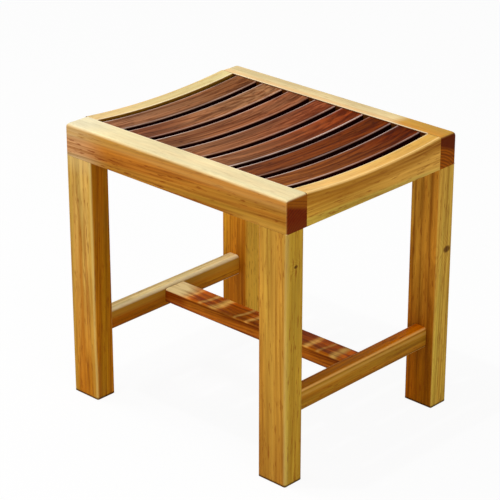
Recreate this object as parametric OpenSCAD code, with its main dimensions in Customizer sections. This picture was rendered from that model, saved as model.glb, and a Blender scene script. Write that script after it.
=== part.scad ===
// Wooden shower stool with a dished seat of seven slats.
// Millimetres. X runs along the long rails, the front is at -Y, +Z is up.
// The origin lies on the floor under the middle of the seat.

/* [Overall] */
// Length over the two long rails, left to right
stool_l = 400; // [360:1:460]
// Depth over the two long rails, front to back
stool_d = 332; // [300:1:400]
// Height of the flat frame top above the floor
stool_h = 400; // [320:1:480]

/* [Legs] */
// Width of a leg, left to right
leg_w = 48; // [40:0.5:55]
// Depth of a leg, front to back
leg_d = 33; // [28:0.5:36]
// Radius of the upright edges of legs and frame corners
corner_round = 4; // [1:0.5:6]
// Chamfer around the foot of each leg
foot_chamfer = 1.5; // [0.5:0.5:3]

/* [Seat frame] */
// Height of all four rails
rail_h = 45; // [40:1:60]
// Thickness of the front rail
front_rail_t = 37; // [32:0.5:44]
// Thickness of the back rail
back_rail_t = 33; // [32:0.5:44]
// Thickness of the two side rails
side_rail_t = 23.5; // [18:0.5:30]
// Radius of the outer top edges of the long rails
top_round = 5.5; // [2:0.5:10]
// Radius of the outer top edge of each side rail
side_rail_round = 3; // [1:0.5:8]
// Radius of the top edges inside the frame
inner_round = 1; // [0.5:0.5:2]
// Radius of the lower edges of the rails
under_round = 0.4; // [0.4:0.2:2]

/* [Seat dish] */
// How far the middle of the seat lies below its ends
dish_sag = 7; // [3:0.5:12]

/* [Slats] */
// Gap between two slats
slat_gap = 9.5; // [5:0.5:12]
// Gap between the left rail and the first slat
left_gap = 6; // [5:0.5:12]
// Gap between the last slat and the right rail
right_gap = 12; // [5:0.5:14]
// Thickness of a slat
slat_t = 14; // [12:0.5:18]
// How far the slats lie below the top of the rails
slat_drop = 1.5; // [0.5:0.5:4]
// Radius of the long edges of a slat
slat_round = 2; // [0.5:0.5:4]
// Length of the tenon at each end of a slat
tenon_l = 10; // [6:0.5:12]
// Thickness of the slat tenons
tenon_t = 7; // [5:0.5:8]
// Shoulder on either side of a slat tenon
tenon_shoulder = 6; // [3:0.5:10]

/* [Stretchers] */
// Width of the two side stretchers
side_stretcher_w = 22; // [18:0.5:30]
// Height of the two side stretchers
side_stretcher_h = 30; // [24:0.5:36]
// Height of their undersides above the floor
side_stretcher_z = 90.5; // [60:0.5:150]
// Width of the center stretcher
center_stretcher_w = 38; // [30:0.5:48]
// Height of the center stretcher
center_stretcher_h = 21; // [16:0.5:22]
// How far its underside lies above that of the side stretchers
center_stretcher_lift = 6.5; // [0:0.5:7]
// Radius of the upper long edges of the side stretchers
foot_rest_round = 5.5; // [2:0.5:6]
// Radius of all other long edges of the stretchers
stretcher_round = 3.5; // [1:0.5:5]

/* [Dowels] */
// Diameter of the dowels between legs and long rails
leg_dowel_d = 8; // [6:0.5:10]
// How far those dowels reach into the leg, and as far into the rail
leg_dowel_reach = 24; // [16:1:30]
// Spacing of the two dowels on a leg
leg_dowel_pitch = 20; // [18:1:24]
// Distance of those dowels from the outer face
leg_dowel_inset = 12; // [9:0.5:13]
// Diameter of the dowels between side rails and long rails
rail_dowel_d = 8; // [6:0.5:9]
// How far those dowels reach into the long rail
rail_dowel_in_long = 14; // [10:0.5:14]
// How far those dowels reach into the side rail
rail_dowel_in_side = 20; // [14:0.5:30]
// Spacing of the two dowels at an end of a side rail
rail_dowel_pitch = 16; // [14:0.5:20]
// Height of the lower of the two above the underside of the rail
rail_dowel_rise = 12; // [8:0.5:14]
// Diameter of the dowels between side stretchers and legs
stretcher_dowel_d = 10; // [8:0.5:12]
// How far those dowels reach into the leg, and as far into the stretcher
stretcher_dowel_reach = 20; // [14:0.5:24]
// Diameter of the dowels at the ends of the center stretcher
center_dowel_d = 8; // [6:0.5:9]
// How far those dowels reach into the side stretcher
center_dowel_in_side = 12; // [8:0.5:14]
// How far those dowels reach into the center stretcher
center_dowel_in_center = 18; // [12:0.5:30]
// Spacing of the two dowels at an end of the center stretcher
center_dowel_pitch = 18; // [14:0.5:20]
// Chamfer at both ends of every dowel
dowel_chamfer = 0.8; // [0.4:0.2:1.2]

/* [Fits] */
// Clearance around a dowel in its bore
dowel_clear = 0.1; // [0.05:0.05:0.2]
// Clearance around a slat tenon in its mortise
tenon_clear = 0.15; // [0.1:0.05:0.25]
// Room left past the end of a dowel or tenon
end_clear = 0.5; // [0.3:0.1:1]

/* [Hidden] */

frame_wood = "burlywood";
slat_wood = "saddlebrown";
dowel_wood = "wheat";

// Faces that cutting tools run past, so that no skin is left
over = 1;
// Facets of small round edges, of dowels, and of the long dish arc
$fn = 48;
arc_fn = 1080;

slat_count = 7;
rail_bottom = stool_h - rail_h;

// The opening of the frame
open_front = -stool_d / 2 + front_rail_t;
open_back = stool_d / 2 - back_rail_t;
open_left = -stool_l / 2 + side_rail_t;
open_right = stool_l / 2 - side_rail_t;
open_d = open_back - open_front;
open_mid = (open_front + open_back) / 2;

// The dish is an arc through the frame top at both long rails
dish_r = (open_d * open_d / 4 + dish_sag * dish_sag) / (2 * dish_sag);
dish_axis_z = stool_h - dish_sag + dish_r;
dish_angle = 2 * asin((open_d / 2 + rail_h) / dish_r);

slat_w = (open_right - open_left - left_gap - right_gap - (slat_count - 1) * slat_gap) / slat_count;
slat_pitch = slat_w + slat_gap;
tenon_z = stool_h - slat_drop - slat_t / 2;
// A tenon runs this far back into its slat
tenon_root = tenon_l / 2;

leg_mid_x = stool_l / 2 - leg_w / 2;
leg_inner_y = stool_d / 2 - leg_d;
side_stretcher_mid_z = side_stretcher_z + side_stretcher_h / 2;
side_stretcher_inner_x = leg_mid_x - side_stretcher_w / 2;
center_stretcher_z = side_stretcher_z + center_stretcher_lift;

function slat_left(i) = open_left + left_gap + (i - 1) * slat_pitch;

// Rectangle from the origin with a radius for each corner:
// lower left, lower right, upper right, upper left
module soft_rect(w, h, r) {
    spots = [[0, 0], [w, 0], [w, h], [0, h]];
    turns = [[1, 1], [-1, 1], [-1, -1], [1, -1]];
    difference() {
        square([w, h]);
        for (i = [0:3])
            if (r[i] > 0)
                translate(spots[i])
                    scale_turn(turns[i])
                        difference() {
                            translate([-over, -over]) square(r[i] + over);
                            translate([r[i], r[i]]) circle(r[i]);
                        }
    }
}

// Mirrors a corner cutter into its corner
module scale_turn(t) {
    mirror([t[0] < 0 ? 1 : 0, 0])
        mirror([0, t[1] < 0 ? 1 : 0])
            children();
}

// Extrudes a drawing of Y and Z along +X
module along_x(l) {
    rotate([90, 0, 90]) linear_extrude(l) children();
}

// Extrudes a drawing of X and Z along +Y
module along_y(l) {
    translate([0, l, 0]) rotate([90, 0, 0]) linear_extrude(l) children();
}

// Sweeps a drawing of radius and X around the axis of the seat dish
module along_dish() {
    translate([0, open_mid, dish_axis_z])
        rotate([0, 90, 0])
            rotate([0, 0, -dish_angle / 2])
                rotate_extrude(angle = dish_angle, $fn = arc_fn)
                    children();
}

// Dowel that stands on the origin along +Z
module dowel(d, l) {
    r = d / 2;
    c = dowel_chamfer;
    rotate_extrude()
        polygon([[0, 0], [r - c, 0], [r, c], [r, l - c], [r - c, l], [0, l]]);
}

// Bore for a dowel that enters at the origin along +Z
module dowel_bore(d, reach) {
    translate([0, 0, -over])
        cylinder(d = d + 2 * dowel_clear, h = reach + end_clear + over);
}

// Repeats a thing made for the right end on both ends
module both_ends() {
    children();
    mirror([1, 0, 0]) children();
}

// Repeats a thing made for the back on both the front and the back
module both_sides() {
    children();
    mirror([0, 1, 0]) children();
}

// Places for the two dowels on top of the back right leg
module at_leg_dowels() {
    for (s = [-1, 1])
        translate([leg_mid_x + s * leg_dowel_pitch / 2, stool_d / 2 - leg_dowel_inset, rail_bottom])
            children();
}

// Places for the two dowels where a side rail meets a long rail at y
module at_rail_dowels(y) {
    for (i = [0, 1])
        translate([stool_l / 2 - side_rail_t / 2, y, rail_bottom + rail_dowel_rise + i * rail_dowel_pitch])
            children();
}

// Place for the dowel between the right stretcher and the back right leg
module at_stretcher_dowel() {
    translate([leg_mid_x, leg_inner_y, side_stretcher_mid_z]) children();
}

// Places for the two dowels at the right end of the center stretcher
module at_center_dowels() {
    for (s = [-1, 1])
        translate([side_stretcher_inner_x, s * center_dowel_pitch / 2, center_stretcher_z + center_stretcher_h / 2])
            children();
}

// Section of a leg seen along one side, with its foot chamfer
module leg_outline(w) {
    c = foot_chamfer;
    polygon([[c, 0], [w - c, 0], [w, c], [w, rail_bottom], [0, rail_bottom], [0, c]]);
}

// The back right leg; the others are its mirror images
module leg() {
    color(frame_wood)
        difference() {
            translate([stool_l / 2 - leg_w, leg_inner_y, 0])
                intersection() {
                    linear_extrude(rail_bottom)
                        soft_rect(leg_w, leg_d, [for (i = [0:3]) corner_round]);
                    along_x(leg_w) leg_outline(leg_d);
                    along_y(leg_d) leg_outline(leg_w);
                }
            at_leg_dowels() rotate([180, 0, 0]) dowel_bore(leg_dowel_d, leg_dowel_reach);
            at_stretcher_dowel() rotate([-90, 0, 0]) dowel_bore(stretcher_dowel_d, stretcher_dowel_reach);
        }
}

module back_right_leg() { leg(); }
module back_left_leg() { mirror([1, 0, 0]) leg(); }
module front_right_leg() { mirror([0, 1, 0]) leg(); }
module front_left_leg() { mirror([1, 0, 0]) mirror([0, 1, 0]) leg(); }

// Long rail of thickness t, drawn as the back one
module long_rail(t) {
    inner = stool_d / 2 - t;
    color(frame_wood)
        difference() {
            translate([-stool_l / 2, inner, rail_bottom])
                intersection() {
                    along_x(stool_l)
                        soft_rect(t, rail_h, [under_round, under_round, top_round, 0]);
                    along_y(t)
                        soft_rect(stool_l, rail_h, [under_round, under_round, top_round, top_round]);
                    linear_extrude(rail_h)
                        soft_rect(stool_l, t, [0, 0, corner_round, corner_round]);
                }
            seat_edge(inner);
            both_ends() at_leg_dowels() dowel_bore(leg_dowel_d, leg_dowel_reach);
            both_ends() at_rail_dowels(inner) rotate([-90, 0, 0]) dowel_bore(rail_dowel_d, rail_dowel_in_long);
            slat_mortises(inner);
        }
}

// Cutter that rounds the top edge of a long rail with its inner face at y, between the side rails
module seat_edge(y) {
    r = inner_round;
    translate([open_left, y, stool_h])
        along_x(open_right - open_left)
            difference() {
                translate([-over, -r]) square(r + over);
                translate([r, -r]) circle(r);
            }
}

// The row of mortises for the slat tenons, in a rail whose inner face is at y
module slat_mortises(y) {
    for (i = [1:slat_count])
        translate([
            slat_left(i) + tenon_shoulder - tenon_clear,
            y - over,
            tenon_z - tenon_t / 2 - tenon_clear
        ])
            cube([
                slat_w - 2 * tenon_shoulder + 2 * tenon_clear,
                tenon_l + end_clear + over,
                tenon_t + 2 * tenon_clear
            ]);
}

module back_rail() { long_rail(back_rail_t); }
module front_rail() { mirror([0, 1, 0]) long_rail(front_rail_t); }

// The right side rail, straight below and dished on top
module side_rail() {
    color(frame_wood)
        difference() {
            intersection() {
                translate([open_right, open_front, rail_bottom])
                    along_y(open_d)
                        soft_rect(side_rail_t, rail_h + over, [under_round, under_round, 0, 0]);
                along_dish()
                    translate([dish_r, open_right])
                        soft_rect(rail_h + dish_sag, side_rail_t, [inner_round, 0, 0, side_rail_round]);
            }
            at_rail_dowels(open_back) rotate([90, 0, 0]) dowel_bore(rail_dowel_d, rail_dowel_in_side);
            at_rail_dowels(open_front) rotate([-90, 0, 0]) dowel_bore(rail_dowel_d, rail_dowel_in_side);
        }
}

module right_rail() { side_rail(); }
module left_rail() { mirror([1, 0, 0]) side_rail(); }

// Slat number i, counted from the left
module slat(i) {
    color(slat_wood) {
        intersection() {
            translate([slat_left(i) - over, open_front, rail_bottom])
                cube([slat_w + 2 * over, open_d, rail_h]);
            along_dish()
                translate([dish_r + slat_drop, slat_left(i)])
                    soft_rect(slat_t, slat_w, [for (k = [0:3]) slat_round]);
        }
        for (y = [open_front - tenon_l, open_back - tenon_root])
            translate([slat_left(i) + tenon_shoulder, y, tenon_z - tenon_t / 2])
                cube([slat_w - 2 * tenon_shoulder, tenon_l + tenon_root, tenon_t]);
    }
}

// The right stretcher between the front and back legs
module side_stretcher() {
    w = side_stretcher_w;
    color(frame_wood)
        difference() {
            translate([leg_mid_x - w / 2, -leg_inner_y, side_stretcher_z])
                along_y(2 * leg_inner_y)
                    soft_rect(w, side_stretcher_h,
                        [stretcher_round, stretcher_round, foot_rest_round, foot_rest_round]);
            both_sides() at_stretcher_dowel() rotate([90, 0, 0]) dowel_bore(stretcher_dowel_d, stretcher_dowel_reach);
            at_center_dowels() rotate([0, 90, 0]) dowel_bore(center_dowel_d, center_dowel_in_side);
        }
}

module right_stretcher() { side_stretcher(); }
module left_stretcher() { mirror([1, 0, 0]) side_stretcher(); }

// The flat stretcher that ties the two side stretchers together
module center_stretcher() {
    w = center_stretcher_w;
    color(frame_wood)
        difference() {
            translate([-side_stretcher_inner_x, -w / 2, center_stretcher_z])
                along_x(2 * side_stretcher_inner_x)
                    soft_rect(w, center_stretcher_h, [for (i = [0:3]) stretcher_round]);
            both_ends() at_center_dowels() rotate([0, -90, 0]) dowel_bore(center_dowel_d, center_dowel_in_center);
        }
}

module leg_top_dowels() {
    color(dowel_wood)
        both_sides() both_ends() at_leg_dowels()
            translate([0, 0, -leg_dowel_reach]) dowel(leg_dowel_d, 2 * leg_dowel_reach);
}

module rail_corner_dowels() {
    l = rail_dowel_in_long + rail_dowel_in_side;
    color(dowel_wood)
        both_ends() {
            at_rail_dowels(open_back)
                rotate([-90, 0, 0]) translate([0, 0, -rail_dowel_in_side]) dowel(rail_dowel_d, l);
            at_rail_dowels(open_front)
                rotate([90, 0, 0]) translate([0, 0, -rail_dowel_in_side]) dowel(rail_dowel_d, l);
        }
}

module side_stretcher_dowels() {
    color(dowel_wood)
        both_sides() both_ends() at_stretcher_dowel()
            rotate([-90, 0, 0])
                translate([0, 0, -stretcher_dowel_reach])
                    dowel(stretcher_dowel_d, 2 * stretcher_dowel_reach);
}

module center_stretcher_dowels() {
    l = center_dowel_in_side + center_dowel_in_center;
    color(dowel_wood)
        both_ends() at_center_dowels()
            rotate([0, 90, 0]) translate([0, 0, -center_dowel_in_center]) dowel(center_dowel_d, l);
}

front_left_leg();
front_right_leg();
back_left_leg();
back_right_leg();
front_rail();
back_rail();
left_rail();
right_rail();
slat(1);  // slat_1
slat(2);  // slat_2
slat(3);  // slat_3
slat(4);  // slat_4
slat(5);  // slat_5
slat(6);  // slat_6
slat(7);  // slat_7
left_stretcher();
right_stretcher();
center_stretcher();
leg_top_dowels();
rail_corner_dowels();
side_stretcher_dowels();
center_stretcher_dowels();
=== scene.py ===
# %% [markdown]
# # A wooden shower stool
# The stool is made of boards: four legs, a frame of four rails, seven dark slats and three stretchers.
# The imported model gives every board's place, so this script first loads it, and then builds each board
# again with soft edges and wood that has its own grain.

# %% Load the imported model
import math

import bmesh
import bpy
from mathutils import Euler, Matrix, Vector


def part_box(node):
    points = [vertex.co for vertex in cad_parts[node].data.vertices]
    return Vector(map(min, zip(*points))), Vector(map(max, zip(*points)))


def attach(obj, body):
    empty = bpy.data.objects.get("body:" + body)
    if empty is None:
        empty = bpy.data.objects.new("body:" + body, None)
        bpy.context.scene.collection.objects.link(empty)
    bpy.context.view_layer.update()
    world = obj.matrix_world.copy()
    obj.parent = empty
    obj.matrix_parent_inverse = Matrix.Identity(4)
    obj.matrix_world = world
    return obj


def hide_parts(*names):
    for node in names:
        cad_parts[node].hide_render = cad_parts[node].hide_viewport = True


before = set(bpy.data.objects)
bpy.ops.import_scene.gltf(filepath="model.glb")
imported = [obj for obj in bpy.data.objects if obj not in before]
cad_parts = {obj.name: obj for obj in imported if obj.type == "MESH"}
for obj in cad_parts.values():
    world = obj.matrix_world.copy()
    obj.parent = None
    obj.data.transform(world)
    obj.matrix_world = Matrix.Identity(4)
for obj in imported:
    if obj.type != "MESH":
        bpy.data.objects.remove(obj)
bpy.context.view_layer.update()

MM = 0.001
AXES = {"x": 0, "y": 1, "z": 2}

LEGS = ["front_left_leg", "front_right_leg", "back_left_leg", "back_right_leg"]
SLATS = [f"slat_{i}" for i in range(1, 8)]
DOWELS = ["leg_top_dowels", "rail_corner_dowels", "side_stretcher_dowels", "center_stretcher_dowels"]

# %% [markdown]
# ## The camera
# A long lens from a few metres away keeps the legs almost parallel, as a product photo does.
# The camera's place is a direction from the stool, given by how far it is turned to the right of the
# front and how high it looks down, and a distance.

# %% Camera
VIEW_TURN = math.radians(43.3)
VIEW_RISE = math.radians(23.8)
VIEW_DISTANCE = 2.859
VIEW_TARGET = Vector((-0.0094, -0.0089, 0.2221))
LENS_MM = 151.6


def toward(turn, rise):
    """Direction from the stool to something that stands at this turn and height."""
    return Vector((math.sin(turn) * math.cos(rise), -math.cos(turn) * math.cos(rise), math.sin(rise)))


def aim(thing, place, target):
    """Puts a lamp or camera at a place and points it at the target."""
    thing.location = place
    thing.rotation_mode = "QUATERNION"
    thing.rotation_quaternion = (Vector(target) - Vector(place)).to_track_quat("-Z", "Y")


camera = bpy.data.objects.new("camera", bpy.data.cameras.new("camera"))
bpy.context.scene.collection.objects.link(camera)
bpy.context.scene.camera = camera
camera.data.lens = LENS_MM
aim(camera, VIEW_TARGET + toward(VIEW_TURN, VIEW_RISE) * VIEW_DISTANCE, VIEW_TARGET)
print("camera at", [round(v, 3) for v in camera.location])

# %% [markdown]
# ## Small helpers for materials
# A material is a net of nodes. These helpers add a node, set its inputs and link them in one line, so
# that each material below reads as a recipe. Colours are written as the eye sees them, from 0 to 255,
# and turned into the linear values that the renderer wants.

# %% Node helpers
SCREEN_WHITE = 255
SCREEN_GAMMA = 2.2
# A Mix node has a socket for every kind of value, and these are the ones for colours
MIX_A, MIX_B, MIX_RESULT = 6, 7, 2


def seen(r, g, b):
    """A colour as it is seen on a screen, in the renderer's linear values."""
    return tuple((v / SCREEN_WHITE) ** SCREEN_GAMMA for v in (r, g, b)) + (1.0,)


def put(net, kind, inputs=None, **settings):
    """Adds a shader node, sets its properties, and fills or links its inputs."""
    node = net.new("ShaderNode" + kind)
    for name, value in settings.items():
        setattr(node, name, value)
    for name, value in (inputs or {}).items():
        socket = node.inputs[name]
        if isinstance(value, bpy.types.NodeSocket):
            net.id_data.links.new(value, socket)
        else:
            socket.default_value = value
    return node


def calc(net, operation, *values):
    """One step of arithmetic, as a socket."""
    return put(net, "Math", dict(enumerate(values)), operation=operation).outputs[0]


def product(net, value, *factors):
    """A value times all these factors."""
    for factor in factors:
        value = calc(net, "MULTIPLY", value, factor)
    return value


def vector_calc(net, operation, *values, output="Vector"):
    """One step of arithmetic with vectors, as a socket."""
    return put(net, "VectorMath", dict(enumerate(values)), operation=operation).outputs[output]


def spread(net, value, low, high, to_low=0.0, to_high=1.0):
    """Maps a value smoothly from one range to another."""
    inputs = {"Value": value, "From Min": low, "From Max": high, "To Min": to_low, "To Max": to_high}
    return put(net, "MapRange", inputs, interpolation_type="SMOOTHSTEP").outputs["Result"]


def near(net, value, place, reach):
    """1 where a value is at a place, fading to 0 at this reach on both sides of it."""
    return spread(net, calc(net, "ABSOLUTE", calc(net, "SUBTRACT", value, place)), reach, 0.0)


def blend_colors(net, share, a, b, mode="MIX"):
    """Mixes colour b over colour a by share."""
    node = put(net, "Mix", {"Factor": share}, data_type="RGBA", blend_type=mode)
    for index, value in ((MIX_A, a), (MIX_B, b)):
        if isinstance(value, bpy.types.NodeSocket):
            net.id_data.links.new(value, node.inputs[index])
        else:
            node.inputs[index].default_value = value
    return node.outputs[MIX_RESULT]


def lay(net, color, tone, *shares):
    """Lays a tone over a colour, by the product of these shares."""
    return blend_colors(net, product(net, *shares), color, seen(*tone))


def empty_nodes(owner):
    """The emptied node list of a material or a world."""
    owner.use_nodes = True
    owner.node_tree.nodes.clear()
    return owner.node_tree.nodes


def new_group(name, **inputs):
    """An empty shader group with inputs that are listed by kind, and the sockets that these fill."""
    group = bpy.data.node_groups.new(name, "ShaderNodeTree")
    for kind, labels in inputs.items():
        for label in labels:
            group.interface.new_socket(label, in_out="INPUT", socket_type="NodeSocket" + kind)
    return group, group.nodes.new("NodeGroupInput").outputs


def finish_group(group, kind, results):
    """Gives a shader group its outputs, all of one kind, and links each to its value."""
    for label in results:
        group.interface.new_socket(label, in_out="OUTPUT", socket_type="NodeSocket" + kind)
    give = group.nodes.new("NodeGroupOutput").inputs
    for label, value in results.items():
        group.links.new(value, give[label])
    print(group.name, "has", len(group.nodes), "nodes")


# %% [markdown]
# ## The figure of a board
# Wood grows in rings round the middle of the trunk, and a board is a slice of that. So the pattern is
# worked out in three dimensions: the distance from the trunk's middle line gives the rings, and long
# thin noise along that line gives the streaks, flecks and fibres. A board's long faces then show lines
# and arches, and its ends show arcs, with no seam at the edges. A knot is a spot that pushes the rings
# aside, as a branch does.

# %% Board figure group
FAR_AWAY = (9.0, 9.0, 9.0)
# What a distance from a knot counts along the three axes, which makes the knot oval
KNOT_SHAPE = (0.8, 0.55, 1.0)
# How far round a knot the rings swirl, in knot sizes, and by how many rings they are pushed aside
SWIRL_REACH = 5.0
SWIRL_RINGS = 2.6

figure, take = new_group("board_figure", Vector=["Vector", "Knot"],
                         Float=["Ring Width", "Waviness", "Seed", "Knot Size"])
net = figure.nodes


def long_noise(vector, along, across, detail, offset):
    """Noise drawn out along X, with a size along and across the grain in repeats a metre."""
    stretched = vector_calc(net, "MULTIPLY", vector, (along, across, across))
    seed = calc(net, "ADD", take["Seed"], offset)
    return put(net, "TexNoise", {
        "Vector": stretched, "W": seed, "Scale": 1.0, "Detail": detail, "Roughness": 0.55,
    }, noise_dimensions="4D")


# The trunk isn't straight, so its middle line sways
sway = long_noise(take["Vector"], 2.5, 12.0, 2.0, 0.0)
centred = vector_calc(net, "SUBTRACT", sway.outputs["Color"], (0.5, 0.5, 0.5))
swayed = put(net, "VectorMath", {0: centred, "Scale": take["Waviness"]}, operation="SCALE")
bent = vector_calc(net, "ADD", take["Vector"], swayed.outputs[0])
radius = vector_calc(net, "LENGTH", vector_calc(net, "MULTIPLY", bent, (0.0, 1.0, 1.0)), output="Value")

from_knot = vector_calc(net, "SUBTRACT", take["Vector"], take["Knot"])
round_knot = vector_calc(net, "MULTIPLY", from_knot, KNOT_SHAPE)
knot_distance = calc(net, "DIVIDE", vector_calc(net, "LENGTH", round_knot, output="Value"),
                     take["Knot Size"])
knot = spread(net, knot_distance, 1.3, 0.6)
swirl = product(net, spread(net, knot_distance, SWIRL_REACH, 0.5), SWIRL_RINGS)

# Each ring darkens slowly, ends sharply, and is as strong as its year was good
ripple = product(net, long_noise(bent, 6.0, 55.0, 2.0, 3.7).outputs[0], 0.9)
turns = calc(net, "ADD", calc(net, "DIVIDE", radius, take["Ring Width"]), ripple)
turns = calc(net, "ADD", turns, swirl)
phase = calc(net, "FRACT", turns)
rising = spread(net, phase, 0.05, 0.80)
falling = spread(net, phase, 0.82, 1.0, 1.0, 0.0)
year = put(net, "TexNoise", {"W": calc(net, "FLOOR", turns), "Scale": 1.0, "Detail": 0.0},
           noise_dimensions="1D").outputs[0]
rings = product(net, rising, falling, spread(net, year, 0.3, 0.7, 0.25, 1.0))

finish_group(figure, "Float", {
    "Rings": rings,
    "Streaks": long_noise(bent, 5.0, 210.0, 3.0, 11.3).outputs[0],
    "Strips": long_noise(bent, 2.0, 70.0, 1.0, 13.6).outputs[0],
    "Flecks": spread(net, long_noise(bent, 55.0, 420.0, 2.0, 23.1).outputs[0], 0.56, 0.70),
    "Fibres": long_noise(bent, 30.0, 1100.0, 2.0, 17.9).outputs[0],
    "Clouds": long_noise(bent, 7.0, 26.0, 2.0, 31.7).outputs[0],
    "Knot": knot,
})

# %% [markdown]
# ## Ends, edges and faces
# The cut ends of a board drink more oil than its faces, and so they are darker. Rounded edges get a
# paler tone, which is a painted highlight. Faces that look up get a paler tone too, on the pale boards
# partly their own and partly a painted sheen, and two faces of a board are cut differently through the
# rings. All of this can be told from the direction in which the surface looks.

# %% End, edge and face group
# How squarely a surface looks along an axis where it starts to count as an end or a side, and where
# it counts fully
SIDE_FROM, SIDE_FULL = 0.45, 0.90
# The same for a face that looks up
UP_FROM, UP_FULL = 0.25, 0.85
# A rounded edge looks along no axis squarely
EDGE_FROM, EDGE_FULL = 0.98, 0.75

sides, take = new_group("ends_and_edges", Vector=["Normal", "Grain"])
net = sides.nodes
facing = vector_calc(net, "DOT_PRODUCT", take["Normal"], take["Grain"], output="Value")
parts = put(net, "SeparateXYZ", {0: take["Normal"]}).outputs
size_x, size_y, size_z = (calc(net, "ABSOLUTE", parts[i]) for i in range(3))
strongest = calc(net, "MAXIMUM", size_x, calc(net, "MAXIMUM", size_y, size_z))
finish_group(sides, "Float", {
    "End": spread(net, calc(net, "ABSOLUTE", facing), SIDE_FROM, SIDE_FULL),
    "Edge": spread(net, strongest, EDGE_FROM, EDGE_FULL),
    "Up": spread(net, parts[2], UP_FROM, UP_FULL),
    "Across X": spread(net, size_x, SIDE_FROM, SIDE_FULL),
    "Across Y": spread(net, size_y, SIDE_FROM, SIDE_FULL),
})

# %% [markdown]
# ## Tones of a board
# A board is never the same colour from one end to the other, nor on two of its faces. This group mixes
# four tones, two for each kind of face, and then lets the figure make them lighter or darker.

# %% Tone group
tones, take = new_group(
    "board_tones", Float=["Along", "Other Share", "Figure", "Strips"],
    Color=["Main Low", "Main High", "Other Low", "Other High",
           "Light Wood", "Dark Wood", "Warm Strip", "Cool Strip"])
net = tones.nodes
main_tone = blend_colors(net, take["Along"], take["Main Low"], take["Main High"])
other_tone = blend_colors(net, take["Along"], take["Other Low"], take["Other High"])
plain = blend_colors(net, take["Other Share"], main_tone, other_tone)
figure_tone = blend_colors(net, take["Figure"], take["Light Wood"], take["Dark Wood"])
figured = blend_colors(net, 1.0, plain, figure_tone, "MULTIPLY")
strip_share = spread(net, take["Strips"], 0.40, 0.60)
strip_tone = blend_colors(net, strip_share, take["Cool Strip"], take["Warm Strip"])
finish_group(tones, "Color", {"Color": blend_colors(net, 1.0, figured, strip_tone, "MULTIPLY")})

# %% [markdown]
# ## Wood materials
# One recipe makes every board's material. A board has a grain direction, the place of the trunk's
# middle line beside it, a small tilt of that line, which makes arches, and its own tones.

# %% Place in the trunk
TURN_TO_GRAIN = {"x": (0.0, 0.0, 0.0), "y": (0.0, 0.0, -math.pi / 2), "z": (0.0, math.pi / 2, 0.0)}


def in_trunk(net, place, node, grain, pith, tilt, knot):
    """A board's place in its trunk, which lies along X, and the place of a knot in it."""
    low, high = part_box(node)
    heart = (low + high) / 2 + Vector(pith)
    lean = tuple(math.radians(v) for v in tilt)
    for step in ({"Location": tuple(-heart)}, {"Rotation": lean}, {"Rotation": TURN_TO_GRAIN[grain]}):
        place = put(net, "Mapping", {"Vector": place} | step).outputs[0]
    if knot is None:
        return place, FAR_AWAY
    turn = Euler(TURN_TO_GRAIN[grain]).to_matrix() @ Euler(lean).to_matrix()
    return place, tuple(turn @ (Vector(knot) - heart))


def leaning(net, value, other, lean):
    """A value that moves with another one, as in a mark that runs at a slant."""
    return calc(net, "ADD", value, product(net, other, lean))


def shifted(net, board, value, reach):
    """A value that the clouds in the wood shift to and fro, so that nothing runs quite straight."""
    return leaning(net, value, calc(net, "SUBTRACT", board["Clouds"], 0.5), reach)


# %% Wood recipe
WARM_GLOSS = (1.0, 0.80, 0.55, 1.0)
COAT_ROUGHNESS = 0.3
# How far a change of tone is shifted, over the whole board and over a short run
LONG_WANDER = 0.12
SHORT_WANDER = 0.03
# What rings and streaks give to the figure
RINGS_SHARE = 0.55
STREAKS_SHARE = 0.75
# How much of the tone below the end grain and a knot cover
END_COVER = 0.95
KNOT_COVER = 0.85
KNOT_DARK, KNOT_LIGHT = (54, 24, 5), (112, 60, 18)
BUMP_STRENGTH = 0.30
BUMP_DEPTH = 0.15 * MM


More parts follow.
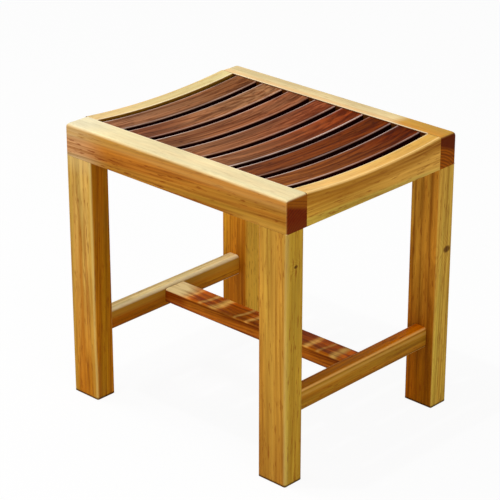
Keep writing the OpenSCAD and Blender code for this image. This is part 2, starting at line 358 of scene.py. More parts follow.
def wood(name, node, grain, main, other, other_on="Up", run=None, pith=(0.03, 0.03, 0.03),
         tilt=(0.0, 0.0, 0.0), light=(1.12, 1.12, 1.08), dark=(0.70, 0.58, 0.42), end=(110, 60, 20),
         end_contrast=0.13, end_marks=(), marks=(), edge=None, edge_share=0.35, fleck=(125, 60, 15),
         fleck_share=0.6, ring_width=4 * MM, waviness=6 * MM, figure_share=0.8, top_figure=0.4,
         strip_share=0.7, warm_strip=(1.08, 0.94, 0.80), cool_strip=(0.93, 1.03, 1.00), seed=0.0,
         knot=None, knot_size=4 * MM, rough=0.42, shine=0.025, polish=0.05):
    """A board's material. The pith is where the trunk's middle line lies, from the board's own middle."""
    material = bpy.data.materials.new(name)
    net = empty_nodes(material)
    axis = AXES[grain]
    place = put(net, "TexCoord").outputs
    spot = put(net, "SeparateXYZ", {0: place["Object"]}).outputs
    vector, knot_at = in_trunk(net, place["Object"], node, grain, pith, tilt, knot)
    board = put(net, "Group", {
        "Vector": vector, "Ring Width": ring_width, "Waviness": waviness, "Seed": seed,
        "Knot": knot_at, "Knot Size": knot_size,
    }, node_tree=figure).outputs
    along_grain = tuple(float(i == axis) for i in range(3))
    look = put(net, "Group", {"Normal": place["Normal"], "Grain": along_grain},
               node_tree=sides).outputs

    low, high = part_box(node)
    starts, ends = (low[axis], high[axis]) if run is None else run
    reach = LONG_WANDER if run is None else SHORT_WANDER
    along = spread(net, shifted(net, board, spot[axis], reach), starts, ends)
    calm = spread(net, look["Up"], 0.0, 1.0, 1.0, top_figure)
    lines = calc(net, "ADD", product(net, board["Rings"], RINGS_SHARE),
                 spread(net, board["Streaks"], 0.42, 0.62, 0.0, STREAKS_SHARE))
    lines = product(net, lines, figure_share, calm)
    strips = product(net, calc(net, "SUBTRACT", board["Strips"], 0.5), strip_share, calm)
    # Where the other tone lies on the tops of the pale boards, its paleness is partly a painted sheen
    color = put(net, "Group", {
        "Main Low": seen(*main[0]), "Main High": seen(*main[1]),
        "Other Low": seen(*other[0]), "Other High": seen(*other[1]),
        "Along": along, "Other Share": look[other_on], "Figure": lines,
        "Strips": calc(net, "ADD", strips, 0.5), "Light Wood": (*light, 1.0), "Dark Wood": (*dark, 1.0),
        "Warm Strip": (*warm_strip, 1.0), "Cool Strip": (*cool_strip, 1.0),
    }, node_tree=tones).outputs[0]
    shade = product(net, spread(net, board["Clouds"], 0.3, 0.7, 0.90, 1.08),
                    spread(net, board["Fibres"], 0.3, 0.7, 0.92, 1.05))
    shade_color = put(net, "CombineColor", {0: shade, 1: shade, 2: shade}).outputs[0]
    color = blend_colors(net, 1.0, color, shade_color, "MULTIPLY")
    color = lay(net, color, fleck, board["Flecks"], fleck_share, calm)
    for mark in marks:
        color = mark(net, spot, board, look, color)
    # The edge tone on the rounded edges is a painted highlight
    if edge is not None:
        color = lay(net, color, edge, look["Edge"], edge_share)
    end_color = blend_colors(net, board["Rings"], seen(*[v * (1 + end_contrast) for v in end]),
                             seen(*[v * (1 - end_contrast) for v in end]))
    for mark in end_marks:
        end_color = mark(net, spot, board, look, end_color)
    color = blend_colors(net, product(net, look["End"], END_COVER), color, end_color)
    knot_color = blend_colors(net, board["Rings"], seen(*KNOT_DARK), seen(*KNOT_LIGHT))
    color = blend_colors(net, product(net, board["Knot"], KNOT_COVER), color, knot_color)

    height = calc(net, "SUBTRACT", product(net, board["Fibres"], 0.5),
                  calc(net, "ADD", board["Flecks"], product(net, board["Rings"], 0.3)))
    bump = put(net, "Bump", {"Height": height, "Strength": BUMP_STRENGTH, "Distance": BUMP_DEPTH})
    shader = put(net, "BsdfPrincipled", {
        "Base Color": color, "Normal": bump.outputs[0],
        "Roughness": spread(net, board["Fibres"], 0.3, 0.7, rough - 0.05, rough + 0.07),
        "Specular IOR Level": shine, "Specular Tint": WARM_GLOSS,
        "Coat Weight": product(net, look["Edge"], polish), "Coat Tint": WARM_GLOSS,
        "Coat Roughness": COAT_ROUGHNESS,
    })
    put(net, "OutputMaterial", {"Surface": shader.outputs[0]})
    return material


# %% [markdown]
# ## Marks on a board
# Some marks are not left to chance: a stripe of darker heartwood, a painted highlight along an edge,
# painted shade on the inner face of a rail, or a dark band of painted shade round a foot. Each of these
# functions gives back a painter, which lays its tone over the colour that the board has so far.

# %% Marks
# A stripe wanders by this many times its reach
STRIPE_WANDER = 1.2
ARRIS_FADE = 0.5 * MM


def stripe(across, at, reach, tone, share, along=None, span=None, only=None, lean=0.0):
    """A stripe at a place on the axis across it. Its ends fade over the span, if given."""
    def paint(net, spot, board, look, color):
        across_at = shifted(net, board, spot[AXES[across]], STRIPE_WANDER * reach)
        if lean:
            across_at = leaning(net, across_at, spot[AXES[along]], lean)
        shares = [near(net, across_at, at, reach), share]
        if span is not None:
            shares.append(spread(net, spot[AXES[along]], *span))
        if only is not None:
            shares.append(look[only])
        return lay(net, color, tone, *shares)
    return paint


def from_height(start, full, tone, share, lean=0.0, only=None):
    """A tone that sets in between two heights, both measured at y = 0 where the mark leans with y."""
    def paint(net, spot, board, look, color):
        height = leaning(net, spot[2], spot[1], lean)
        shares = [spread(net, height, start, full), share]
        if only is not None:
            shares.append(look[only])
        return lay(net, color, tone, *shares)
    return paint


def arris_highlight(across, at, tone, share, reach=1.6 * MM, half_length=1.0):
    """A painted highlight: a pale line along a top edge, up to this far from the middle."""
    def paint(net, spot, board, look, color):
        line = near(net, spot[AXES[across]], at, reach)
        highlight_strength = spread(net, board["Clouds"], 0.30, 0.60, 0.5, 1.0)
        up = spread(net, look["Up"], 0.0, 0.4)
        off_middle = calc(net, "ABSOLUTE", spot[1 - AXES[across]])
        inside = spread(net, off_middle, half_length + ARRIS_FADE, half_length - ARRIS_FADE)
        return lay(net, color, tone, line, highlight_strength, up, inside, share)
    return paint


def shaded_face(across, at, lowest, tone, share):
    """Painted shade on the inner face of a rail beside the slats, down to the slats' undersides."""
    def paint(net, spot, board, look, color):
        face = near(net, spot[AXES[across]], at, 1.2 * MM)
        in_shade = spread(net, spot[2], lowest - MM, lowest + MM)
        return lay(net, color, tone, face, in_shade, share)
    return paint


# %% [markdown]
# ## Building a board
# Every board starts as a cube that is scaled to its node's box. Each edge gets its own radius, kept as
# a bevel weight, and one Bevel modifier then rounds them all together, so that three different radii
# still meet in a smooth corner.

# %% Board helpers
LARGEST_RADIUS = 6 * MM
TINY = 0.001 * MM


def corners_of(points):
    """The lowest and the highest corner of the box round some points."""
    return tuple(Vector([pick(p[i] for p in points) for i in range(3)]) for pick in (min, max))


def block(low, high):
    """A box as a bmesh, with a layer for the radius of each edge."""
    bm = bmesh.new()
    bmesh.ops.create_cube(bm, size=1.0)
    bmesh.ops.scale(bm, vec=high - low, verts=bm.verts)
    bmesh.ops.translate(bm, vec=(low + high) / 2, verts=bm.verts)
    bm.edges.layers.float.new("bevel_weight_edge")
    return bm


def ease(bm, radius, within=None, **where):
    """Gives a radius to the edges that lie on two sides of the box, such as x="high", z="low".

    Where within is given, such as ("x", low, high), only the edges between these places get it.
    """
    weight = bm.edges.layers.float["bevel_weight_edge"]
    corners = dict(zip(("low", "high"), corners_of([v.co for v in bm.verts])))
    places = [(AXES[axis], corners[side][AXES[axis]]) for axis, side in where.items()]
    for edge in bm.edges:
        on_sides = all(abs(v.co[i] - place) < TINY for v in edge.verts for i, place in places)
        if within is not None:
            axis, start, stop = within
            on_sides = on_sides and all(start - TINY < v.co[AXES[axis]] < stop + TINY for v in edge.verts)
        if on_sides:
            edge[weight] = radius / LARGEST_RADIUS


def cut_at(bm, axis, places):
    """Cuts all faces of the box across one axis at these places, so that an edge can change there."""
    across_axis = Vector([float(i == AXES[axis]) for i in range(3)])
    for place in places:
        everything = bm.verts[:] + bm.edges[:] + bm.faces[:]
        bmesh.ops.bisect_plane(bm, geom=everything, plane_co=across_axis * place, plane_no=across_axis)


def cut_stations(bm, axis, count):
    """Cuts the box across one axis into equal stations, so that it can follow a curve."""
    index = AXES[axis]
    long_edges = [e for e in bm.edges if abs(e.verts[0].co[index] - e.verts[1].co[index]) > TINY]
    bmesh.ops.subdivide_edges(bm, edges=long_edges, cuts=count - 1, use_grid_fill=True)


def as_object(bm, name):
    """Turns a bmesh into an object in the scene."""
    mesh = bpy.data.meshes.new(name)
    bm.to_mesh(mesh)
    bm.free()
    obj = bpy.data.objects.new(name, mesh)
    bpy.context.scene.collection.objects.link(obj)
    return obj


def joined(shapes):
    """Puts shapes that don't touch each other into one bmesh."""
    whole = bmesh.new()
    for shape in shapes:
        mesh = bpy.data.meshes.new("shape")
        shape.to_mesh(mesh)
        shape.free()
        whole.from_mesh(mesh)
        bpy.data.meshes.remove(mesh)
    return whole


# %% [markdown]
# ## Clean shading
# A board is shaded smoothly, and weighted normals keep its flat faces flat. Where a rounding runs out
# in a tiny pointed face beside a large flat one, the shading would still draw a crease across the flat
# face. So the edge between the two is marked as sharp.

# %% Tips of the roundings
TIP_AREA = 1 * MM * MM
LARGE_AREA = 100 * TIP_AREA
# A face counts as flat, along an axis, from this part of its normal on
FLAT = 0.9999


def part_tips(mesh):
    """Marks the edges between a board's flat faces and the small tips where a rounding runs out as sharp."""
    bm = bmesh.new()
    bm.from_mesh(mesh)
    for edge in bm.edges:
        faces = sorted(edge.link_faces, key=lambda face: face.calc_area())
        if len(faces) == 2 and faces[0].calc_area() < TIP_AREA and faces[1].calc_area() > LARGE_AREA:
            straight = [max(abs(c) for c in face.normal) > FLAT for face in faces]
            if straight == [False, True]:
                edge.smooth = False
    bm.to_mesh(mesh)
    bm.free()


# %% [markdown]
# ## Finishing a board
# The joints come after the rounding. A Boolean modifier could cut them one after another, but then the
# result depends on their order, and now and then a facet of a bore is lost. So all the cutters of a
# board are joined into one first, which gives the same closed mesh each time.

# %% Finishing
ROUND_STEPS = 7
SHARP_ANGLE = math.radians(32)


def finish_board(bm, node, material, cuts=(), joins=()):
    """Rounds a board, cuts and adds its joints, and makes it stand for its CAD node."""
    piece = as_object(bm, node + "_board")
    rounding = piece.modifiers.new("rounding", "BEVEL")
    rounding.limit_method = "WEIGHT"
    rounding.width = LARGEST_RADIUS
    rounding.segments = ROUND_STEPS
    helpers = []
    for operation, shapes in (("UNION", joins), ("DIFFERENCE", cuts)):
        if shapes:
            helper = as_object(joined(shapes), node + "_helper")
            step = piece.modifiers.new("joint", "BOOLEAN")
            step.operation = operation
            step.solver = "EXACT"
            step.object = helper
            helpers.append(helper)
    shape = bpy.data.meshes.new_from_object(piece.evaluated_get(bpy.context.evaluated_depsgraph_get()))
    piece.modifiers.clear()
    piece.data = shape
    for helper in helpers:
        bpy.data.objects.remove(helper)
    shape.materials.clear()
    shape.materials.append(material)
    shape.shade_smooth()
    shape.set_sharp_from_angle(angle=SHARP_ANGLE)
    part_tips(shape)
    flat = piece.modifiers.new("flat_faces", "WEIGHTED_NORMAL")
    flat.keep_sharp = True
    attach(piece, "root")
    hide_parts(node)
    return piece


# %% [markdown]
# ## The dish of the seat
# The slats and the side rails dip towards the middle of the seat. The dip is one arc that starts at
# the inner faces of the long rails. The slats' box gives how deep it is.

# %% Dish
SLAT_THICKNESS = 14 * MM
STATIONS = 28

slat_low, slat_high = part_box("slat_1")
rail_low, rail_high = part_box("right_rail")
seat_front, seat_back, frame_top = rail_low.y, rail_high.y, rail_high.z
seat_right, seat_left = rail_low.x, -rail_low.x
seat_middle = (seat_front + seat_back) / 2
half_span = (seat_back - seat_front) / 2
sag = slat_high.z - slat_low.z - SLAT_THICKNESS
dish_radius = (half_span**2 + sag**2) / (2 * sag)
dish_axis = frame_top - sag + dish_radius
slat_drop = frame_top - slat_high.z
print(f"dish: {sag / MM:.1f} mm deep, radius {dish_radius / MM:.0f} mm, slats {slat_drop / MM:.1f} mm lower")


def on_dish(y, below):
    """Height of the dish at y, for a surface that lies this far below it."""
    return dish_axis - math.sqrt((dish_radius + below) ** 2 - (y - seat_middle) ** 2)


def bend_top(bm, below, underside=None):
    """Lowers the top of a board onto the dish, and its underside too if it is given."""
    middle = sum(v.co.z for v in bm.verts) / len(bm.verts)
    for vert in bm.verts:
        if vert.co.z > middle:
            vert.co.z = on_dish(vert.co.y, below)
        elif underside is not None:
            vert.co.z = on_dish(vert.co.y, underside)


# %% [markdown]
# ## Boards of the frame
# The pale boards are a golden hardwood. The tones below follow the stool: the front rail goes from a
# pinkish tan to orange, and the legs stand between yellow and brown.

# %% Pale wood tones
# The tone of the painted highlight along a rail's inner top edge
ARRIS_HIGHLIGHT = (255, 236, 196)
# A dark band at the foot of every leg, painted shade where the leg meets the floor
FOOT_SHADE = from_height(4.5 * MM, 2 * MM, (58, 34, 10), 0.85)
LEG = dict(grain="z", other_on="Across X", edge=(205, 178, 105), edge_share=0.3, strip_share=0.4, polish=0.0,
           marks=(FOOT_SHADE,))
LONG_RAIL = dict(grain="x", edge=(226, 190, 120), edge_share=0.15, top_figure=0.15)
SIDE_RAIL = dict(grain="y", edge=(236, 196, 125), edge_share=0.3)
STRETCHER = dict(grain="y", edge=(215, 160, 80), edge_share=0.35, top_figure=0.8, polish=0.0)


# %% [markdown]
# ## Marks of single boards
# The outer face of the right side rail shows darker heartwood that follows the dish. The top of the
# center stretcher is crossed by painted bands of light, wide and narrow, where light falls through the
# drain gaps, with a painted pool of light at its left end.

# %% Heartwood and painted light
HEARTWOOD = (150, 95, 26)
DARK_LINE = (112, 52, 10)
# A band wanders by this many times its reach
BAND_WANDER = 3.2


def dish_bands(net, spot, board, look, color):
    """On the outer face of a side rail the darker heartwood and a broken dark line follow the dish."""
    off_middle = calc(net, "SUBTRACT", spot[1], seat_middle)
    rise = calc(net, "DIVIDE", product(net, off_middle, off_middle), 2 * dish_radius)
    depth = calc(net, "SUBTRACT", calc(net, "ADD", rise, frame_top - sag), spot[2])
    depth = shifted(net, board, depth, 9 * MM)
    color = lay(net, color, HEARTWOOD, spread(net, depth, 24 * MM, 14 * MM), look["Across X"], 0.6)
    broken = spread(net, board["Streaks"], 0.40, 0.60, 0.2, 0.75)
    lines = calc(net, "MAXIMUM", near(net, depth, 8 * MM, 3 * MM), near(net, depth, 3.6 * MM, 1.6 * MM))
    return lay(net, color, DARK_LINE, lines, broken, look["Across X"])


def light_band(at, lean, reach, share, tone=(250, 196, 100)):
    """A painted band of light that crosses the top of a board along X, broken up by its streaks."""
    def paint(net, spot, board, look, color):
        place = leaning(net, shifted(net, board, spot[0], BAND_WANDER * reach), spot[1], lean)
        broken = spread(net, board["Streaks"], 0.60, 0.44, 0.5, 1.0)
        return lay(net, color, tone, near(net, place, at, reach), broken, look["Up"], share)
    return paint


# The painted light bands of the center stretcher: place at y = 0, lean, reach and share
LIGHT_BANDS = [light_band(at, lean, reach * MM, share) for at, lean, reach, share in (
    (-0.122, -0.19, 4, 0.4), (-0.093, -0.27, 6, 0.7), (-0.070, -0.30, 11, 0.9), (-0.026, -0.35, 5, 0.8),
    (-0.004, -0.3, 7, 0.7), (0.046, -0.25, 9, 0.6), (0.102, -0.25, 9, 0.8), (0.126, -0.25, 5, 0.5),
    (0.150, -0.2, 10, 1.0),
)]
# A wide painted pool of light at the left end of the center stretcher's top
LIGHT_POOL = light_band(-0.152, -0.1, 32 * MM, 1.6, tone=(255, 226, 160))
print("bands on the center stretcher:", len(LIGHT_BANDS) + 1)

# %% [markdown]
# ## The pale boards
# Each board gets its own values, read off the real thing: the tones of its two kinds of faces at both
# ends, how it was cut from the trunk, and its marks.

# %% Pale boards
# Each board's own values: main and other tones at its low and high end, and where the heart of its
# trunk lies. On a leg the other tone is on the faces that look to the sides, elsewhere on the top.
# The legs and stretchers that stand in the seat's shade have tones painted lighter to make up for that
# shade, which is painted light.
PALE_BOARDS = {
    "front_left_leg": dict(
        LEG, main=((177, 119, 33), (210, 168, 92)), other=((172, 113, 24), (154, 96, 18)), edge_share=0.15,
        pith=(0.012, 0.04, 0.0), tilt=(1.6, 0.5, 0.0), waviness=9 * MM, figure_share=1.0, seed=1.3,
        marks=(stripe("x", -0.195, 7 * MM, (184, 146, 60), 0.5),
               stripe("x", -0.177, 8 * MM, (184, 112, 30), 0.5, "z", (0.30, 0.20)),
               stripe("x", -0.158, 6 * MM, (196, 148, 60), 0.4),
               # A painted highlight along the leg's upright arris
               stripe("x", -0.1545, 2.5 * MM, (205, 178, 105), 0.5),
               from_height(0.325, 0.352, (212, 178, 112), 0.45, only="Across Y"), FOOT_SHADE)),
    "front_right_leg": dict(
        LEG, main=((168, 116, 44), (194, 146, 62)), other=((174, 140, 52), (174, 134, 48)), edge_share=0.0,
        pith=(-0.05, 0.05, 0.0), tilt=(0.5, 0.8, 0.0), strip_share=0.25, seed=4.1,
        knot=(0.200, -0.1483, 0.3072), knot_size=1.9 * MM,
        marks=(stripe("x", 0.154, 3.5 * MM, (156, 92, 22), 0.5),
               stripe("x", 0.178, 6 * MM, (196, 150, 62), 0.35),
               # The stripe at the outer front corner is a painted highlight
               stripe("x", 0.1985, 3 * MM, (206, 178, 104), 0.4, "y", (-0.158, -0.163)), FOOT_SHADE)),
    "back_left_leg": dict(
        LEG, main=((166, 98, 20), (242, 170, 52)), other=((216, 160, 60), (212, 154, 56)), edge_share=0.0,
        pith=(0.05, -0.04, 0.0), seed=7.7),
    "back_right_leg": dict(
        LEG, main=((154, 88, 14), (192, 136, 50)), other=((204, 162, 68), (192, 150, 66)), edge_share=0.08,
        pith=(0.0, 0.035, 0.0), tilt=(2.2, 0.0, 0.0), seed=9.2, figure_share=0.9,
        knot=(0.200, 0.1545, 0.2345), knot_size=4 * MM,
        marks=(stripe("x", 0.160, 3 * MM, (100, 48, 8), 0.5),
               stripe("x", 0.173, 2.5 * MM, (104, 50, 8), 0.45),
               stripe("x", 0.188, 3 * MM, (98, 46, 8), 0.45), FOOT_SHADE)),
    "front_rail": dict(
        LONG_RAIL, main=((190, 148, 106), (170, 111, 41)), other=((214, 203, 176), (220, 205, 167)),
        run=(-0.185, -0.115), pith=(0.0, 0.03, -0.06), tilt=(0.0, 2.5, 0.0), seed=12.4,
        end=(86, 26, 1), end_contrast=0.2, fleck=(118, 50, 10), fleck_share=0.85, figure_share=1.0,
        light=(1.18, 1.18, 1.14),
        marks=(from_height(0.379, 0.391, (196, 150, 80), 0.35, only="Across Y"),
               stripe("z", 0.3885, 4 * MM, (206, 154, 80), 0.3, only="Across Y"),
               stripe("z", 0.362, 7 * MM, (174, 130, 44), 0.45, "x", (-0.04, 0.06)),
               stripe("z", 0.358, 10 * MM, (196, 146, 62), 0.6, "x", (0.09, 0.17)),
               arris_highlight("y", seat_front - 1.2 * MM, ARRIS_HIGHLIGHT, 0.7, half_length=seat_right)),
        end_marks=(from_height(0.335, 0.343, (136, 76, 16), 0.9, lean=0.32),
                   stripe("z", 0.3475, 1.3 * MM, (92, 40, 4), 0.6, "y", lean=0.32),
                   stripe("z", 0.3435, 1.1 * MM, (98, 44, 6), 0.5, "y", lean=0.32))),
    "back_rail": dict(
        LONG_RAIL | dict(top_figure=0.4), main=((180, 120, 50), (170, 105, 35)),
        other=((224, 196, 150), (196, 142, 60)), run=(0.11, 0.135), pith=(0.0, -0.03, -0.06),
        end=(113, 57, 4), end_contrast=0.35, seed=15.8,
        marks=(stripe("x", 0.128, 4 * MM, (208, 140, 60), 0.5, "y", (0.13, 0.14), "Up", lean=-0.5),
               shaded_face("y", seat_back, 0.386, (62, 24, 8), 0.9),
               arris_highlight("y", seat_back + 1.2 * MM, ARRIS_HIGHLIGHT, 0.9, half_length=seat_right)),
        end_marks=(from_height(0.436, 0.443, (84, 28, 2), 1.0, lean=0.40),
                   stripe("z", 0.431, 2.5 * MM, (98, 42, 3), 0.7, "y", lean=0.40),
                   stripe("z", 0.422, 2.0 * MM, (104, 48, 4), 0.6, "y", lean=0.40))),
    "left_rail": dict(
        SIDE_RAIL, main=((190, 134, 44), (194, 140, 50)), other=((224, 196, 142), (222, 200, 146)),
        pith=(0.03, 0.0, -0.05), seed=18.6,
        marks=(shaded_face("x", seat_left, 0.36, (118, 74, 18), 0.7),
               arris_highlight("x", seat_left - 1.4 * MM, ARRIS_HIGHLIGHT, 0.9))),
    "right_rail": dict(
        SIDE_RAIL, main=((184, 144, 60), (194, 154, 76)), other=((230, 190, 122), (214, 168, 84)),
        pith=(-0.03, 0.0, -0.05), tilt=(0.8, 0.0, 0.0), seed=21.9,
        # The stripe along the outer top edge is a painted highlight
        marks=(dish_bands, stripe("x", 0.1963, 2.2 * MM, (255, 214, 144), 0.7, only="Up"),
               arris_highlight("x", seat_right + 1.4 * MM, ARRIS_HIGHLIGHT, 0.5))),
    "left_stretcher": dict(
        STRETCHER, main=((154, 88, 13), (190, 122, 30)), other=((226, 210, 156), (218, 200, 150)),
        edge=(250, 226, 176), edge_share=0.6, pith=(0.02, 0.0, -0.04), seed=24.2,
        # A painted shade line along the far top edge, and a painted highlight along the near one
        marks=(stripe("x", -0.1845, 2.5 * MM, (190, 170, 120), 0.7, only="Up"),
               stripe("x", -0.1690, 4 * MM, (255, 232, 184), 0.6, only="Up"),
               from_height(0.103, 0.112, (176, 128, 44), 0.7, only="Across X"),
               stripe("z", 0.099, 1.4 * MM, (112, 56, 4), 0.5, only="Across X"),
               stripe("z", 0.0925, 2.5 * MM, (84, 40, 4), 0.8, only="Across X"))),
    "right_stretcher": dict(
        STRETCHER, main=((160, 112, 34), (163, 113, 36)), other=((190, 113, 8), (246, 136, 4)),
        edge=(236, 178, 98), edge_share=0.8, figure_share=1.0, pith=(-0.02, 0.0, -0.04), seed=27.5,
        # A painted highlight along the far top edge
        marks=(stripe("x", 0.1675, 2.2 * MM, (226, 164, 84), 0.7, only="Up"),
               stripe("z", 0.113, 3.5 * MM, (190, 141, 65), 0.7, only="Across X"),
               stripe("z", 0.0925, 3 * MM, (84, 44, 8), 0.75))),
    # The cream top tone at the left end of the center stretcher is painted light as well
    "center_stretcher": dict(
        STRETCHER, grain="x", main=((151, 70, 11), (176, 100, 26)), other=((255, 220, 150), (204, 104, 14)),
        run=(-0.140, -0.112), pith=(0.0, 0.01, -0.05), tilt=(0.0, 3.0, 0.0), seed=30.3, top_figure=1.0,
        figure_share=1.1, edge_share=0.15, dark=(0.50, 0.36, 0.22),
        marks=(*LIGHT_BANDS, LIGHT_POOL,
               stripe("z", 0.1145, 1.6 * MM, (100, 40, 2), 0.7, only="Across Y"),
               stripe("z", 0.103, 2.4 * MM, (190, 108, 40), 0.6, only="Across Y"),
               stripe("z", 0.0985, 1.8 * MM, (78, 30, 2), 0.8, only="Across Y"))),
}
STRETCHERS = ["left_stretcher", "right_stretcher", "center_stretcher"]
print("pale boards described:", len(PALE_BOARDS))


def pale_wood(node):
    """The material of one pale board."""
    return wood(node + "_wood", node, **PALE_BOARDS[node])


# %% [markdown]
# ## Joints
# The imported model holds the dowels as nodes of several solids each. Every dowel's box says where its
# bore goes and how wide it is, so the boards are drilled from them, with a little clearance.

# %% Dowel bores
DOWEL_CLEARANCE = 0.1 * MM
END_CLEARANCE = 0.5 * MM
BORE_STEPS = 40


def solids_of(node):
    """The boxes of the separate solids in a node, from their joined faces, in order of place."""
    bm = bmesh.new()
    bm.from_mesh(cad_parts[node].data)
    bmesh.ops.remove_doubles(bm, verts=bm.verts, dist=TINY)
    left = set(bm.verts)
    boxes = []
    while left:
        group = set()
        waiting = [left.pop()]
        while waiting:
            vert = waiting.pop()
            group.add(vert)
            waiting += [v for e in vert.link_edges for v in e.verts if v in left]
            left -= set(waiting)
        boxes.append(corners_of([v.co for v in group]))
    bm.free()
    return sorted(boxes, key=lambda box: tuple(box[0]))


def bore(low, high):
    """A round cutter for the bore of the dowel in this box."""
    size = high - low
    axis = max(range(3), key=lambda i: size[i])
    bm = bmesh.new()
    radius = min(size) / 2 + DOWEL_CLEARANCE
    bmesh.ops.create_cone(bm, cap_ends=True, segments=BORE_STEPS, radius1=radius, radius2=radius,
                          depth=size[axis] + 2 * END_CLEARANCE)
    turn = Vector((0, 0, 1)).rotation_difference(Vector([i == axis for i in range(3)]))
    bm.transform(turn.to_matrix().to_4x4())
    bmesh.ops.translate(bm, vec=(low + high) / 2, verts=bm.verts)
    return bm


DOWEL_BOXES = [box for node in DOWELS for box in solids_of(node)]
print("dowels found:", len(DOWEL_BOXES))


def touches(low, high, other_low, other_high):
    """Whether two boxes share some room."""
    return all(low[i] < other_high[i] and other_low[i] < high[i] for i in range(3))


def bores_for(node):
    """The cutters for all bores in one board."""
    low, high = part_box(node)
    return [bore(*box) for box in DOWEL_BOXES if touches(low, high, *box)]


# %% [markdown]
# ## Legs
# A leg is a straight square-cut post. Its upright edges are rounded, and the foot has a small chamfer
# so that it doesn't splinter on a tiled floor.

# %% Legs
LEG_ROUND = 4 * MM
FOOT_ROUND = 1.5 * MM

for leg in LEGS:
    low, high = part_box(leg)
    bm = block(low, high)
    for x in ("low", "high"):
        for y in ("low", "high"):
            ease(bm, LEG_ROUND, x=x, y=y)
        ease(bm, FOOT_ROUND, x=x, z="low")
        ease(bm, FOOT_ROUND, y=x, z="low")
    finish_board(bm, leg, pale_wood(leg), cuts=bores_for(leg))
print("legs made:", len(LEGS))

# %% [markdown]
# ## Rails of the frame
# The long rails lie over the legs and show their end grain at the sides. Their outer top edge is well
# rounded, because it is where a leg or a hand rests. Between them sit the two dished side rails, whose
# edges are sharper.

# %% Long rails
TOP_ROUND = 5.5 * MM
INNER_ROUND = 1 * MM
UNDER_ROUND = 0.4 * MM
MORTISE_CLEARANCE = 0.15 * MM
# A tenon is what lies this far past the seat opening, and its mortise opens as far into it
PAST_OPENING = 1 * MM


def tenons_of(slat):
    """The boxes of a slat's front and back tenons, from the points that lie past the seat opening."""
    points = [v.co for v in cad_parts[slat].data.vertices]
    front = [p for p in points if p.y < seat_front - PAST_OPENING]
    back = [p for p in points if p.y > seat_back + PAST_OPENING]
    return corners_of(front), corners_of(back)


def mortises_for(outer):
    """Cutters for the mortises of all slats, on the rail whose outer side is "low" or "high" in y."""
    cutters = []
    room = Vector((MORTISE_CLEARANCE, 0, MORTISE_CLEARANCE))
    for slat in SLATS:
        front, back = tenons_of(slat)
        low, high = front if outer == "low" else back
        if outer == "low":
            low.y -= END_CLEARANCE
            high.y = seat_front + PAST_OPENING
        else:
            low.y = seat_back - PAST_OPENING
            high.y += END_CLEARANCE
        cutters.append(block(low - room, high + room))
    return cutters


for rail, outer, inner in (("front_rail", "low", "high"), ("back_rail", "high", "low")):
    low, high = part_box(rail)
    bm = block(low, high)
    cut_at(bm, "x", (seat_left, seat_right))
    ease(bm, TOP_ROUND, y=outer, z="high")
    ease(bm, INNER_ROUND, within=("x", seat_left, seat_right), y=inner, z="high")
    for end in ("low", "high"):
        ease(bm, TOP_ROUND, x=end, z="high")
        ease(bm, LEG_ROUND, x=end, y=outer)
        ease(bm, UNDER_ROUND, x=end, z="low")
        ease(bm, UNDER_ROUND, y=end, z="low")
    finish_board(bm, rail, pale_wood(rail), cuts=bores_for(rail) + mortises_for(outer))
print("long rails made, with", len(SLATS), "mortises each")

# %% Side rails
SIDE_RAIL_ROUND = 3 * MM

for rail, outer, inner in (("left_rail", "low", "high"), ("right_rail", "high", "low")):
    low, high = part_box(rail)
    bm = block(low, high)
    cut_stations(bm, "y", STATIONS)
    ease(bm, SIDE_RAIL_ROUND, x=outer, z="high")
    ease(bm, INNER_ROUND, x=inner, z="high")
    ease(bm, UNDER_ROUND, x=outer, z="low")
    ease(bm, UNDER_ROUND, x=inner, z="low")
    bend_top(bm, below=0.0)
    finish_board(bm, rail, pale_wood(rail), cuts=bores_for(rail))
print("side rails made")

# %% [markdown]
# ## Slats
# Seven dark slats carry the sitter. Each is bent over the dish and ends in a tenon that sits in a
# mortise of the long rail. Their long edges are only lightly rounded.

# %% Slats
SLAT_ROUND = 2 * MM
# How far the root of a tenon reaches into its slat
TENON_ROOT = 4 * MM
# The top tones of the slats from left to right, at the front and at the back, and how strong the
# painted highlights on their left and right top edges are
SLATS_LEFT_TO_RIGHT = [
    ((148, 106, 76), (132, 87, 54), 0.7, 0.4),
    ((122, 75, 49), (160, 115, 79), 0.9, 0.3),
    ((133, 89, 58), (145, 92, 62), 0.8, 0.2),
    ((144, 98, 66), (134, 74, 47), 1.0, 0.4),
    ((138, 95, 64), (131, 60, 24), 0.8, 0.7),
    ((117, 65, 30), (108, 51, 14), 0.8, 0.4),
    ((135, 84, 40), (99, 42, 6), 0.9, 0.5),
]
# The slats' sides are painted nearly black, painted shade in the drain gaps
SLAT_SIDE_SHADE = (40, 8, 2)
# How each slat was cut from the trunk: the heart's place from its middle, and the tilt in degrees
SLAT_CUTS = [((0.03, 0.0, -0.04), 0.8), ((0.002, 0.0, -0.016), 4.0), ((-0.03, 0.0, -0.05), 0.6),
             ((0.02, 0.0, -0.03), 1.4), ((-0.01, 0.0, -0.03), 1.8), ((0.03, 0.0, -0.05), 0.8),
             ((-0.02, 0.0, -0.03), 1.2)]
SLAT_WOOD = dict(
    grain="y", light=(1.16, 1.14, 1.12), dark=(0.50, 0.36, 0.26), end=(60, 28, 14), fleck=(44, 14, 4),
    fleck_share=0.6, ring_width=3 * MM, figure_share=1.1, top_figure=1.0, strip_share=1.4,
    warm_strip=(1.20, 1.12, 1.06), cool_strip=(0.88, 0.86, 0.84), rough=0.46, shine=0.01, polish=0.1,
)
# The tone of the painted highlights on the slats' top edges
EDGE_HIGHLIGHT = (244, 220, 206)
# The painted highlight lines lie this far from a slat's sides, and fade over these reaches
HIGHLIGHT_INSET = 1.6 * MM
HIGHLIGHT_LEFT_REACH = 2.8 * MM
HIGHLIGHT_RIGHT_REACH = 1.6 * MM


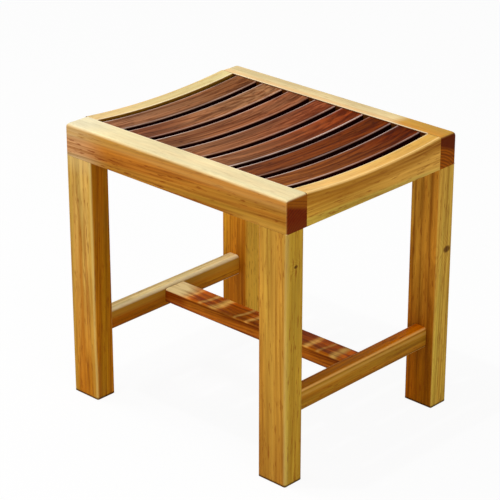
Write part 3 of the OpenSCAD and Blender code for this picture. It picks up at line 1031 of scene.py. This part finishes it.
def highlighted_edges(low, high, left_share, right_share):
    """Painted highlights: pale lines, stronger and weaker along the way, on the two top edges of a slat."""
    def paint(net, spot, board, look, color):
        highlight_strength = spread(net, board["Clouds"], 0.35, 0.62, 0.35, 1.0)
        left = product(net, near(net, spot[0], low.x + HIGHLIGHT_INSET, HIGHLIGHT_LEFT_REACH), left_share,
                       spread(net, spot[1], -0.04, -0.11, 0.5, 1.0))
        right = product(net, near(net, spot[0], high.x - HIGHLIGHT_INSET, HIGHLIGHT_RIGHT_REACH), right_share)
        up = spread(net, look["Up"], 0.0, 0.3)
        return lay(net, color, EDGE_HIGHLIGHT, calc(net, "ADD", left, right), highlight_strength, up)
    return paint


def roots_of(slat):
    """The two tenons of a slat, each with a root that reaches into it."""
    (front_low, front_high), (back_low, back_high) = tenons_of(slat)
    front_high.y = seat_front + TENON_ROOT
    back_low.y = seat_back - TENON_ROOT
    return [block(front_low, front_high), block(back_low, back_high)]


for number, slat in enumerate(SLATS):
    low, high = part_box(slat)
    bm = block(Vector((low.x, seat_front, low.z)), Vector((high.x, seat_back, high.z)))
    cut_stations(bm, "y", STATIONS)
    for x in ("low", "high"):
        for z in ("low", "high"):
            ease(bm, SLAT_ROUND, x=x, z=z)
    bend_top(bm, below=slat_drop, underside=slat_drop + SLAT_THICKNESS)
    front_tone, back_tone, left_highlight, right_highlight = SLATS_LEFT_TO_RIGHT[number]
    heart, tilt = SLAT_CUTS[number]
    dark = wood(slat + "_wood", slat, main=(SLAT_SIDE_SHADE, SLAT_SIDE_SHADE), other=(front_tone, back_tone),
                pith=heart, tilt=(tilt, 0.0, 0.0), marks=(highlighted_edges(low, high, left_highlight, right_highlight),),
                seed=40.0 + 3.3 * number, **SLAT_WOOD)
    finish_board(bm, slat, dark, joins=roots_of(slat))
print("slats made:", len(SLATS))

# %% [markdown]
# ## Stretchers
# Two side stretchers tie the legs front to back, and a flat one ties these together. All their long
# edges are rounded, because feet rest on them.

# %% Stretchers
STRETCHER_ROUND = 3.5 * MM
FOOT_REST_ROUND = 5.5 * MM

for stretcher in STRETCHERS:
    low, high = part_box(stretcher)
    bm = block(low, high)
    across = "y" if stretcher == "center_stretcher" else "x"
    for side in ("low", "high"):
        ease(bm, STRETCHER_ROUND, **{across: side, "z": "low"})
        ease(bm, STRETCHER_ROUND if across == "y" else FOOT_REST_ROUND, **{across: side, "z": "high"})
    finish_board(bm, stretcher, pale_wood(stretcher), cuts=bores_for(stretcher))
print("stretchers made:", len(STRETCHERS))

# %% [markdown]
# ## Dowels
# The dowels can't be seen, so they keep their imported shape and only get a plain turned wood.

# %% Dowels
BEECH = ((212, 175, 122), (206, 168, 115))
DOWEL_GRAIN = dict(zip(DOWELS, ("z", "y", "y", "x")))

for number, dowels in enumerate(DOWELS):
    plain = wood(dowels + "_wood", dowels, grain=DOWEL_GRAIN[dowels], main=BEECH, other=BEECH,
                 end=(175, 135, 90), seed=70.0 + number, figure_share=0.3)
    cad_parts[dowels].data.materials.clear()
    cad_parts[dowels].data.materials.append(plain)
print("dowel groups finished:", len(DOWELS))

# %% [markdown]
# ## The studio
# A pale floor and soft lamps. The camera sees a white world, while the light that reaches the stool is
# plain: broad lamps in front, on the right and on the left, a small one overhead, and a dim white sky.

# %% Floor
FLOOR_SIZE = 12.0
FLOOR_GREY = 0.9
WHITE = (1.0, 1.0, 1.0, 1.0)
# How much of the floor's own white the camera sees. The rest shows the stool's shadow
FLOOR_GLOW = 0.93

floor_bm = bmesh.new()
bmesh.ops.create_grid(floor_bm, x_segments=1, y_segments=1, size=FLOOR_SIZE / 2)
floor = as_object(floor_bm, "floor")
floor_material = bpy.data.materials.new("floor_white")
net = empty_nodes(floor_material)
matte = put(net, "BsdfDiffuse", {"Color": (FLOOR_GREY, FLOOR_GREY, FLOOR_GREY, 1.0)})
glow = put(net, "Emission", {"Color": WHITE})
path = put(net, "LightPath").outputs
glow_share = product(net, path["Is Camera Ray"], FLOOR_GLOW)
mixed = put(net, "MixShader", {0: glow_share, 1: matte.outputs[0], 2: glow.outputs[0]})
put(net, "OutputMaterial", {"Surface": mixed.outputs[0]})
floor.data.materials.append(floor_material)
print("floor:", FLOOR_SIZE, "m wide")

# %% Sky
SKY_LIGHT = 0.42

world = bpy.data.worlds.new("studio")
bpy.context.scene.world = world
net = empty_nodes(world)
path = put(net, "LightPath").outputs
direct = calc(net, "MAXIMUM", path["Is Camera Ray"],
              calc(net, "MAXIMUM", path["Is Glossy Ray"], path["Is Transmission Ray"]))
strength = spread(net, direct, 0.0, 1.0, SKY_LIGHT, 1.0)
sky = put(net, "Background", {"Color": WHITE, "Strength": strength})
put(net, "OutputWorld", {"Surface": sky.outputs[0]})
bpy.context.scene.view_settings.view_transform = "Standard"
print("sky light:", SKY_LIGHT)

# %% Lamps
LAMP_TARGET = (0.0, 0.0, 0.25)
# Name, place, size and power of each lamp. The overhead one is small, so that light falls through the
# drain gaps in stripes
LAMPS = [
    ("front_lamp", (-0.4, -2.0, 0.55), 1.0, 9),
    ("right_lamp", (2.0, -0.8, 0.55), 1.0, 13),
    ("left_lamp", (-1.4, -0.5, 2.5), 0.9, 26),
    ("overhead_lamp", (-0.17, -0.49, 2.34), 0.05, 12.5),
]

for name, place, size, power in LAMPS:
    lamp = bpy.data.objects.new(name, bpy.data.lights.new(name, "AREA"))
    bpy.context.scene.collection.objects.link(lamp)
    lamp.data.size = size
    lamp.data.energy = power
    aim(lamp, place, LAMP_TARGET)
print("lamps lit:", len(LAMPS))
